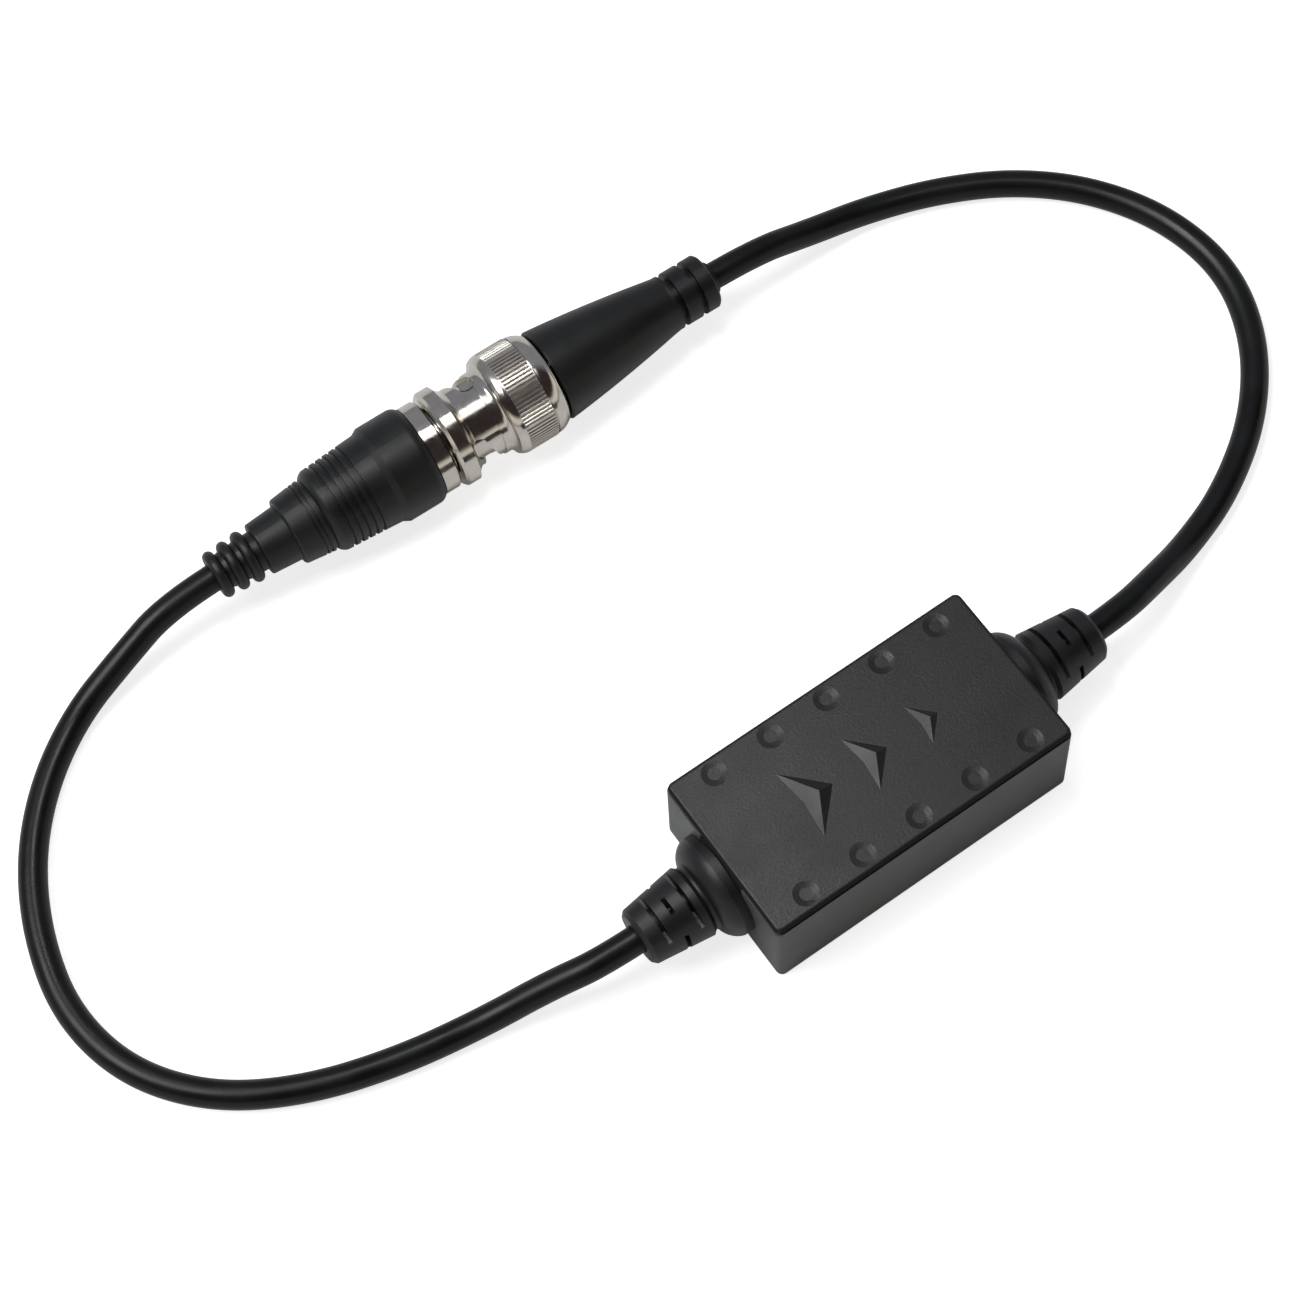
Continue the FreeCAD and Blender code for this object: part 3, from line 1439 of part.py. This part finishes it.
casing_base()
casing_cover()
grommet("grommet_left", 180, -1)
grommet("grommet_right", 0, 1)
circuit_board()
toroid()
disc_capacitor()
resistor()
pigtails()
box_cord_end("left_cord_end", -1, 180)
box_cord_end("right_cord_end", 1, 0)
braid_lead("left_braid_lead", -1)
braid_lead("right_braid_lead", 1)
jack_shell()
jack_inside()
jack_boot()
coupling_ring()
plug_body()
plug_inside()
ring_retainers()
plug_boot()
write_parts()
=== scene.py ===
"""Dresses the video ground loop isolator: materials, cover, cords, light and camera.

Lengths are written in millimetres and turned to metres by the MM factor.
"""
import json
import math

import bpy
from mathutils import Matrix, Vector


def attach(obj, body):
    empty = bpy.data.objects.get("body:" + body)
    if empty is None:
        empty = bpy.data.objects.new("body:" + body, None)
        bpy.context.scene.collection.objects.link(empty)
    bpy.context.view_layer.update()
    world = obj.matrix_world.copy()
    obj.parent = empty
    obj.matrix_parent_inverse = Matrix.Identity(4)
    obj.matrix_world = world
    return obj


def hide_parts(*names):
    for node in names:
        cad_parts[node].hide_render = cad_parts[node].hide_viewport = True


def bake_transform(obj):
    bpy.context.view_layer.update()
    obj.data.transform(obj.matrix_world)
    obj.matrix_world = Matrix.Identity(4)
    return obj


MM = 0.001

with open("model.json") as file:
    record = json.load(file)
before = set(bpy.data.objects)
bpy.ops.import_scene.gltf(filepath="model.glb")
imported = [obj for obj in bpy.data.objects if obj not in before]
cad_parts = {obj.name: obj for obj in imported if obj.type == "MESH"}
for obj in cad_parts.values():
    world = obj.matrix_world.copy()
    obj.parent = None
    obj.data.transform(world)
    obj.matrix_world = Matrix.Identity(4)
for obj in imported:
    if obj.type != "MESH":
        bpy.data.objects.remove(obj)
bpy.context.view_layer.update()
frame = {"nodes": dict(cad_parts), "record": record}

# Camera, fitted to the photograph in the box's own frame

CAMERA_PLACE = Vector((-83.57, -99.54, 339.64)) * MM
CAMERA_RIGHT = Vector((0.8201, -0.5703, -0.0464))
CAMERA_LOOK = Vector((0.1976, 0.3583, -0.9125))
FOCAL_PIXELS = 2905.66
PHOTO_PIXELS = 1292
SENSOR_WIDTH = 36.0
CLIP_START = 0.01

# Light: what stands behind the object, high and low on the camera's side, and the lamps

WALL_COLOUR = (0.29, 0.3, 0.34)
ROOM_COLOUR = (0.04, 0.033, 0.033)
HORIZON_COLOUR = (0.85, 0.81, 0.74)
WALL_EDGE_LOW = -0.2
WALL_EDGE_HIGH = 0.2
HORIZON_TOP = 0.38
HORIZON_FULL = 0.18
KEY_POWER = 6.0
TOP_POWER = 0.23
STRIP_POWER = 0.36

# The floor's own glow as the camera sees it, and as shiny surfaces mirror it

FLOOR_REACH = 4.0
FLOOR_COLOUR = (0.6, 0.6, 0.6)
FLOOR_ROUGHNESS = 0.9
FLOOR_GLOW = 0.78
MIRRORED_GLOW = 0.14

# The cords: their routes are the source's own, and so are the connector's place and turn

CORD_DIAMETER = 3.7
FLOOR = CORD_DIAMETER / 2
CORD_TUCK = 3.0
CORD_LEAD = 6.5
GROMMET_CORD_LEAD = 4.6
PAIR_TURN = math.radians(-1.1)
PAIR_AXIS = Vector((math.cos(PAIR_TURN), math.sin(PAIR_TURN), 0))
MATING_POINT = Vector((-5.4, 70.5, 7.25))
JACK_BOOT_END = 45.45
PLUG_BOOT_TIP = 31.4
GROMMET_TIP = 34.4
GROMMET_HEIGHT = 7.2

LEFT_ROUTE = [
    (-66.0, 70.1, 4.0),
    (-74.5, 67.9, FLOOR),
    (-82.6, 62.2, FLOOR),
    (-89.2, 54.4, FLOOR),
    (-93.6, 44.8, FLOOR),
    (-95.6, 34.2, FLOOR),
    (-93.2, 23.6, FLOOR),
    (-86.4, 14.9, FLOOR),
    (-76.6, 9.1, FLOOR),
    (-65.4, 5.6, FLOOR),
    (-54.6, 3.8, FLOOR),
    (-46.2, 2.0, 5.1),
]

RIGHT_ROUTE = [
    (41.8, 69.4, 4.0),
    (50.7, 68.8, FLOOR),
    (60.3, 65.6, FLOOR),
    (69.7, 60.5, FLOOR),
    (77.5, 53.0, FLOOR),
    (82.7, 43.3, FLOOR),
    (84.0, 32.4, FLOOR),
    (80.1, 22.0, FLOOR),
    (72.5, 13.2, FLOOR),
    (62.6, 6.9, FLOOR),
    (53.6, 3.8, FLOOR),
    (45.8, 1.6, 5.1),
]

# The cover's outer edge beside the parting groove: painted shade in its colour, and a dull finish

PARTING_PLAIN = Vector((21.55, 11.2)) * MM
PARTING_BLEND = 0.12
PARTING_SHADE_COLOUR = (0.003, 0.003, 0.003)
PARTING_ROUGHNESS = 0.9

# The cover's dimples, which the photograph shows shallower and softer than sharp new ones

COVER_TOP = 15.05
DIMPLE_DEPTH = 0.3
DEPTH_MARGIN = 0.005
DIMPLE_RADIUS = 1.7
DIMPLE_PITCH = 8.3
DIMPLE_ROW = 9.35
DIMPLE_SHARE = 0.5
DIMPLES = [(column * DIMPLE_PITCH, side * DIMPLE_ROW) for column in range(-2, 3) for side in (-1, 1)]

# The knurled band of the coupling ring, measured from the ring's front edge, has a satin finish

RING_REACH = 11.3
KNURL_MIDDLE = 11.75
KNURL_HALF = 2.15
KNURL_BLEND = 0.12
KNURL_ROUGHNESS = 0.29

# Node helpers for materials


def new_material(name):
    material = bpy.data.materials.new(name)
    material.use_nodes = True
    return material


def shader_of(material):
    return material.node_tree.nodes["Principled BSDF"]


def add_node(material, kind, **settings):
    node = material.node_tree.nodes.new(kind)
    for name, value in settings.items():
        setattr(node, name, value)
    return node


def link(material, source, target):
    material.node_tree.links.new(source, target)


def noise(material, grain, detail=3.0, roughness=0.55, stretch=(1, 1, 1)):
    """Noise in the object's own metres; grain is the size of a speck in millimetres."""
    place = add_node(material, "ShaderNodeTexCoord")
    mapping = add_node(material, "ShaderNodeMapping")
    mapping.inputs["Scale"].default_value = stretch
    link(material, place.outputs["Object"], mapping.inputs["Vector"])
    texture = add_node(material, "ShaderNodeTexNoise")
    texture.inputs["Scale"].default_value = 1 / (grain * MM)
    texture.inputs["Detail"].default_value = detail
    texture.inputs["Roughness"].default_value = roughness
    link(material, mapping.outputs["Vector"], texture.inputs["Vector"])
    return texture.outputs["Fac"]


def ranged(material, source, low, high, source_low=0.3, source_high=0.7):
    scale = add_node(material, "ShaderNodeMapRange")
    scale.inputs["From Min"].default_value = source_low
    scale.inputs["From Max"].default_value = source_high
    scale.inputs["To Min"].default_value = low
    scale.inputs["To Max"].default_value = high
    link(material, source, scale.inputs["Value"])
    return scale.outputs["Result"]


def blended_colour(material, source, dark, light):
    mix = add_node(material, "ShaderNodeMix", data_type="RGBA")
    mix.inputs["A"].default_value = (*dark, 1)
    mix.inputs["B"].default_value = (*light, 1)
    link(material, source, mix.inputs["Factor"])
    return mix.outputs["Result"]


def bumped(material, source, height, strength=1.0, below=None):
    """Bump of a height in millimetres, laid over another bump if one is given."""
    bump = add_node(material, "ShaderNodeBump")
    bump.inputs["Strength"].default_value = strength
    bump.inputs["Distance"].default_value = height * MM
    link(material, source, bump.inputs["Height"])
    if below is not None:
        link(material, below, bump.inputs["Normal"])
    return bump.outputs["Normal"]


# Materials


def moulded(name, dark, light, rough, grain, relief, patch=6.0, specular=0.5):
    """Moulded plastic or rubber: grain as bump, and slow patches in colour and roughness."""
    material = new_material(name)
    shader = shader_of(material)
    specks = noise(material, grain, detail=4.0)
    clouds = noise(material, patch, detail=2.0)
    link(material, blended_colour(material, ranged(material, clouds, 0, 1), dark, light), shader.inputs["Base Color"])
    link(material, ranged(material, clouds, rough - 0.05, rough + 0.05), shader.inputs["Roughness"])
    shader.inputs["Specular IOR Level"].default_value = specular
    link(material, bumped(material, specks, relief), shader.inputs["Normal"])
    return material


def feed(material, value, target):
    """Give a socket a plain number, or link it to another socket."""
    if isinstance(value, (int, float)):
        target.default_value = value
    else:
        link(material, value, target)


def mathematics(material, operation, first, second=None):
    """One step of arithmetic on a socket, with a socket or a number as its second value."""
    step = add_node(material, "ShaderNodeMath", operation=operation)
    link(material, first, step.inputs[0])
    if second is not None:
        feed(material, second, step.inputs[1])
    return step.outputs["Value"]


def blended_number(material, factor, plain, special):
    mix = add_node(material, "ShaderNodeMix", data_type="FLOAT")
    link(material, plain, mix.inputs["A"])
    mix.inputs["B"].default_value = special
    link(material, factor, mix.inputs["Factor"])
    return mix.outputs["Result"]


def parting_shade(material):
    """Paint shade into the cover's colour along its outer edge, by the parting groove, and make it dull there."""
    shader = shader_of(material)
    place = add_node(material, "ShaderNodeTexCoord")
    parts = add_node(material, "ShaderNodeSeparateXYZ")
    link(material, place.outputs["Object"], parts.inputs["Vector"])
    along = mathematics(material, "SUBTRACT", mathematics(material, "ABSOLUTE", parts.outputs["X"]), PARTING_PLAIN.x)
    across = mathematics(material, "SUBTRACT", mathematics(material, "ABSOLUTE", parts.outputs["Y"]), PARTING_PLAIN.y)
    outside = mathematics(material, "MAXIMUM", along, across)
    edge = ranged(material, outside, 0, 1, 0, PARTING_BLEND * MM)
    mix = add_node(material, "ShaderNodeMix", data_type="RGBA")
    link(material, shader.inputs["Base Color"].links[0].from_socket, mix.inputs["A"])
    mix.inputs["B"].default_value = (*PARTING_SHADE_COLOUR, 1)
    link(material, edge, mix.inputs["Factor"])
    link(material, mix.outputs["Result"], shader.inputs["Base Color"])
    rough = shader.inputs["Roughness"].links[0].from_socket
    link(material, blended_number(material, edge, rough, PARTING_ROUGHNESS), shader.inputs["Roughness"])


def satin_knurl(material):
    """Give the plating a satin finish where the coupling ring is knurled."""
    shader = shader_of(material)
    place = add_node(material, "ShaderNodeTexCoord")
    local = add_node(material, "ShaderNodeMapping", vector_type="TEXTURE")
    local.inputs["Location"].default_value = (MATING_POINT - PAIR_AXIS * RING_REACH) * MM
    local.inputs["Rotation"].default_value = (0, 0, PAIR_TURN)
    link(material, place.outputs["Object"], local.inputs["Vector"])
    parts = add_node(material, "ShaderNodeSeparateXYZ")
    link(material, local.outputs["Vector"], parts.inputs["Vector"])
    offset = mathematics(material, "SUBTRACT", parts.outputs["X"], KNURL_MIDDLE * MM)
    distance = mathematics(material, "ABSOLUTE", offset)
    band = ranged(material, distance, 1, 0, KNURL_HALF * MM, (KNURL_HALF + KNURL_BLEND) * MM)
    rough = shader.inputs["Roughness"].links[0].from_socket
    link(material, blended_number(material, band, rough, KNURL_ROUGHNESS), shader.inputs["Roughness"])


def nickel(name, colour, rough, relief=0.004):
    """Plated metal with a faint unevenness and turning marks."""
    material = new_material(name)
    shader = shader_of(material)
    shader.inputs["Metallic"].default_value = 1.0
    shade = tuple(0.86 * part for part in colour)
    clouds = noise(material, 1.6, detail=3.0)
    link(material, blended_colour(material, ranged(material, clouds, 0, 1), shade, colour), shader.inputs["Base Color"])
    link(material, ranged(material, clouds, rough - 0.04, rough + 0.05), shader.inputs["Roughness"])
    marks = noise(material, 0.25, detail=3.0)
    link(material, bumped(material, marks, relief), shader.inputs["Normal"])
    return material


MATERIALS = {
    # The base shell is the cover's black plastic. Its colour is painted several times lighter, as a lit copy, for the
    # light on its walls
    "case_plastic": moulded("case_plastic", (0.047, 0.0498, 0.0476), (0.058, 0.0613, 0.059), 0.48, 0.35, 0.03),
    "cover_plastic": moulded("cover_plastic", (0.0098, 0.0101, 0.0096), (0.0138, 0.0141, 0.0132), 0.4, 0.35, 0.03,
                             specular=0.36),
    "grommet_rubber": moulded("grommet_rubber", (0.006, 0.006, 0.0065), (0.009, 0.009, 0.0095), 0.42, 0.6, 0.01,
                              specular=0.4),
    "boot_vinyl": moulded("boot_vinyl", (0.0054, 0.0058, 0.0058), (0.0082, 0.0087, 0.0087), 0.42, 0.6, 0.012,
                          specular=0.36),
    "cord_jacket": moulded("cord_jacket", (0.0036, 0.0039, 0.0039), (0.0058, 0.0062, 0.0062), 0.32, 0.8, 0.012,
                           specular=0.26),
    "nickel_plate": nickel("nickel_plate", (0.63, 0.595, 0.54), 0.13),
    "spring_steel": nickel("spring_steel", (0.5, 0.49, 0.47), 0.28),
    "gold_plate": nickel("gold_plate", (0.83, 0.62, 0.25), 0.22),
    "dielectric": moulded("dielectric", (0.78, 0.78, 0.75), (0.85, 0.85, 0.82), 0.45, 0.8, 0.01),
    "gasket_rubber": moulded("gasket_rubber", (0.3, 0.06, 0.04), (0.36, 0.08, 0.05), 0.5, 0.5, 0.01),
    "board_laminate": moulded("board_laminate", (0.04, 0.17, 0.07), (0.06, 0.22, 0.1), 0.35, 0.5, 0.02),
    "ferrite": moulded("ferrite", (0.05, 0.05, 0.055), (0.08, 0.08, 0.085), 0.6, 0.3, 0.02),
    "winding_copper": nickel("winding_copper", (0.6, 0.28, 0.12), 0.3, relief=0.05),
    "capacitor_coat": moulded("capacitor_coat", (0.06, 0.17, 0.42), (0.08, 0.22, 0.5), 0.35, 0.8, 0.02),
    "resistor_coat": moulded("resistor_coat", (0.6, 0.48, 0.32), (0.68, 0.56, 0.38), 0.4, 0.8, 0.01),
    "tinned_copper": nickel("tinned_copper", (0.66, 0.62, 0.56), 0.32, relief=0.03),
}


# Painted shade along the cover's outer edge, where the parting groove lies
parting_shade(MATERIALS["cover_plastic"])
satin_knurl(MATERIALS["nickel_plate"])


def dress_cad_nodes():
    slots = {part["node"]: part["material_slot"] for part in frame["record"]["subparts"]}
    for name, item in frame["nodes"].items():
        item.data.materials.clear()
        item.data.materials.append(MATERIALS[slots[name]])


# The cover


def is_sunk(point):
    """Whether a point of the cover's mesh lies in a dimple, below the cover's top."""
    depth = COVER_TOP - point.z / MM
    if not DEPTH_MARGIN < depth < DIMPLE_DEPTH + DEPTH_MARGIN:
        return False
    return any(math.hypot(point.x / MM - x, point.y / MM - y) < DIMPLE_RADIUS for x, y in DIMPLES)


def worn_cover():
    """The source's cover with its dimples raised to a share of their depth, and their shading with them."""
    mesh = frame["nodes"]["casing_cover"].data.copy()
    sunk = [is_sunk(vertex.co) for vertex in mesh.vertices]
    normals = [corner.vector.copy() for corner in mesh.corner_normals]
    for face in mesh.polygons:
        if any(sunk[k] for k in face.vertices):
            for k in face.loop_indices:
                x, y, z = normals[k]
                normals[k] = Vector((x * DIMPLE_SHARE, y * DIMPLE_SHARE, z)).normalized()
    for vertex, inside in zip(mesh.vertices, sunk):
        if inside:
            top = COVER_TOP * MM
            vertex.co.z = top - (top - vertex.co.z) * DIMPLE_SHARE
    mesh.normals_split_custom_set(normals)
    cover = bpy.data.objects.new("worn_cover", mesh)
    bpy.context.scene.collection.objects.link(cover)
    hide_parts("casing_cover")
    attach(cover, "isolator")


# Cords


def axis_point(distance):
    """A point on the connectors' axis, this far towards the plug from the mating plane."""
    return MATING_POINT + PAIR_AXIS * distance


def nurbs_line(name, points):
    """The points of a smooth NURBS line that a cord follows, in metres."""
    curve = bpy.data.curves.new(name, "CURVE")
    curve.dimensions = "3D"
    curve.resolution_u = 12
    spline = curve.splines.new("NURBS")
    spline.points.add(len(points) - 1)
    for vertex, point in zip(spline.points, points):
        vertex.co = (*(Vector(point) * MM), 1)
    spline.order_u = 3
    spline.use_endpoint_u = True
    carrier = bpy.data.objects.new(name, curve)
    bpy.context.scene.collection.objects.link(carrier)
    bpy.context.view_layer.update()
    mesh = bpy.data.meshes.new_from_object(carrier.evaluated_get(bpy.context.evaluated_depsgraph_get()))
    line = [vertex.co.copy() for vertex in mesh.vertices]
    bpy.data.objects.remove(carrier)
    bpy.data.meshes.remove(mesh)
    return line


def tube(name, line, radius, sides=40):
    """A round mesh tube along a line, closed at both ends."""
    vertices = []
    faces = []
    across = Vector((0, 0, 1))
    for k, point in enumerate(line):
        ahead = (line[min(k + 1, len(line) - 1)] - line[max(k - 1, 0)]).normalized()
        across = (across - ahead * across.dot(ahead)).normalized()
        side = ahead.cross(across)
        for s in range(sides):
            angle = 2 * math.pi * s / sides
            vertices.append(point + (across * math.cos(angle) + side * math.sin(angle)) * radius)
    for k in range(len(line) - 1):
        for s in range(sides):
            low = k * sides
            after = (s + 1) % sides
            faces.append((low + s, low + after, low + sides + after, low + sides + s))
    faces.append(tuple(reversed(range(sides))))
    faces.append(tuple(range((len(line) - 1) * sides, len(line) * sides)))
    return mesh_object(name, vertices, faces)


def mesh_object(name, vertices, faces):
    mesh = bpy.data.meshes.new(name)
    mesh.from_pydata(vertices, [], faces)
    mesh.validate()
    mesh.update()
    for polygon in mesh.polygons:
        polygon.use_smooth = True
    item = bpy.data.objects.new(name, mesh)
    bpy.context.scene.collection.objects.link(item)
    return item


def box_leads(side):
    return [
        Vector((side * (GROMMET_TIP - CORD_TUCK), 0, GROMMET_HEIGHT)),
        Vector((side * (GROMMET_TIP + GROMMET_CORD_LEAD), 0, GROMMET_HEIGHT)),
    ]


def cord(name, node, points):
    line = nurbs_line(f"{name}_line", points)
    piece = tube(name, line, CORD_DIAMETER / 2 * MM)
    piece.data.materials.append(MATERIALS["cord_jacket"])
    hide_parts(node)
    return piece


def cords():
    jack_leads = [axis_point(-JACK_BOOT_END - CORD_LEAD), axis_point(CORD_TUCK - JACK_BOOT_END)]
    plug_leads = [axis_point(PLUG_BOOT_TIP + CORD_LEAD), axis_point(PLUG_BOOT_TIP - CORD_TUCK)]
    left = cord("left_cord", "coax_left", box_leads(-1) + LEFT_ROUTE[::-1] + jack_leads)
    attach(left, "isolator")
    right = cord("right_cord", "coax_right", box_leads(1) + RIGHT_ROUTE[::-1] + plug_leads)
    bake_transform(right)


# Stage


def floor():
    mesh = bpy.data.meshes.new("floor")
    corners = [(x * FLOOR_REACH, y * FLOOR_REACH, 0) for x, y in ((-1, -1), (1, -1), (1, 1), (-1, 1))]
    mesh.from_pydata(corners, [], [(0, 1, 2, 3)])
    item = bpy.data.objects.new("floor", mesh)
    bpy.context.scene.collection.objects.link(item)
    material = new_material("pale_floor")
    shader = shader_of(material)
    shader.inputs["Base Color"].default_value = (*FLOOR_COLOUR, 1)
    shader.inputs["Roughness"].default_value = FLOOR_ROUGHNESS
    shader.inputs["Specular IOR Level"].default_value = 0.0
    shader.inputs["Emission Color"].default_value = (1, 1, 1, 1)
    path = add_node(material, "ShaderNodeLightPath")
    seen = mathematics(material, "MULTIPLY", path.outputs["Is Camera Ray"], FLOOR_GLOW)
    mirrored = mathematics(material, "MULTIPLY", path.outputs["Is Glossy Ray"], MIRRORED_GLOW)
    link(material, mathematics(material, "ADD", seen, mirrored), shader.inputs["Emission Strength"])
    mesh.materials.append(material)


def softbox(name, place, aim, width, depth, power):
    light = bpy.data.lights.new(name, "AREA")
    light.shape = "RECTANGLE"
    light.size = width
    light.size_y = depth
    light.energy = power
    item = bpy.data.objects.new(name, light)
    item.location = place
    item.rotation_euler = (Vector(aim) - Vector(place)).to_track_quat("-Z", "Y").to_euler()
    bpy.context.scene.collection.objects.link(item)


def smooth_step(world, source, low, high):
    step = add_node(world, "ShaderNodeMapRange", interpolation_type="SMOOTHSTEP")
    step.inputs["From Min"].default_value = low
    step.inputs["From Max"].default_value = high
    link(world, source, step.inputs["Value"])
    return step.outputs["Result"]


def surroundings():
    """A plain studio: a blue-grey wall behind the object, and on the camera's side a dark room
    above a bright horizon."""
    world = bpy.data.worlds.new("studio")
    bpy.context.scene.world = world
    world.use_nodes = True
    direction = add_node(world, "ShaderNodeTexCoord")
    parts = add_node(world, "ShaderNodeSeparateXYZ")
    link(world, direction.outputs["Generated"], parts.inputs["Vector"])
    turn = smooth_step(world, parts.outputs["Y"], WALL_EDGE_LOW, WALL_EDGE_HIGH)
    rise = smooth_step(world, parts.outputs["Z"], HORIZON_FULL, HORIZON_TOP)
    front = add_node(world, "ShaderNodeMix", data_type="RGBA")
    front.inputs["A"].default_value = (*HORIZON_COLOUR, 1)
    front.inputs["B"].default_value = (*ROOM_COLOUR, 1)
    link(world, rise, front.inputs["Factor"])
    mix = add_node(world, "ShaderNodeMix", data_type="RGBA")
    link(world, front.outputs["Result"], mix.inputs["A"])
    mix.inputs["B"].default_value = (*WALL_COLOUR, 1)
    link(world, turn, mix.inputs["Factor"])
    link(world, mix.outputs["Result"], world.node_tree.nodes["Background"].inputs["Color"])


def lights():
    surroundings()
    softbox("key", (-0.45, 0.26, 0.86), (0, 0.03, 0), 0.5, 0.5, KEY_POWER)
    softbox("top", (0, 0.1, 0.31), (0, 0, 0), 0.07, 0.07, TOP_POWER)
    softbox("strip", (0.19, 0, 0.98), (0, 0.07, 0), 0.2, 0.3, STRIP_POWER)


def camera():
    data = bpy.data.cameras.new("camera")
    data.sensor_width = SENSOR_WIDTH
    data.lens = SENSOR_WIDTH * FOCAL_PIXELS / PHOTO_PIXELS
    item = bpy.data.objects.new("camera", data)
    back = -CAMERA_LOOK.normalized()
    right = (CAMERA_RIGHT - back * CAMERA_RIGHT.dot(back)).normalized()
    up = back.cross(right)
    rotation = Matrix((right, up, back)).transposed().to_4x4()
    item.matrix_world = Matrix.Translation(CAMERA_PLACE) @ rotation
    data.clip_start = CLIP_START
    bpy.context.scene.collection.objects.link(item)
    bpy.context.scene.camera = item


dress_cad_nodes()
worn_cover()
cords()
floor()
lights()
camera()
bpy.context.scene.view_settings.view_transform = "Standard"
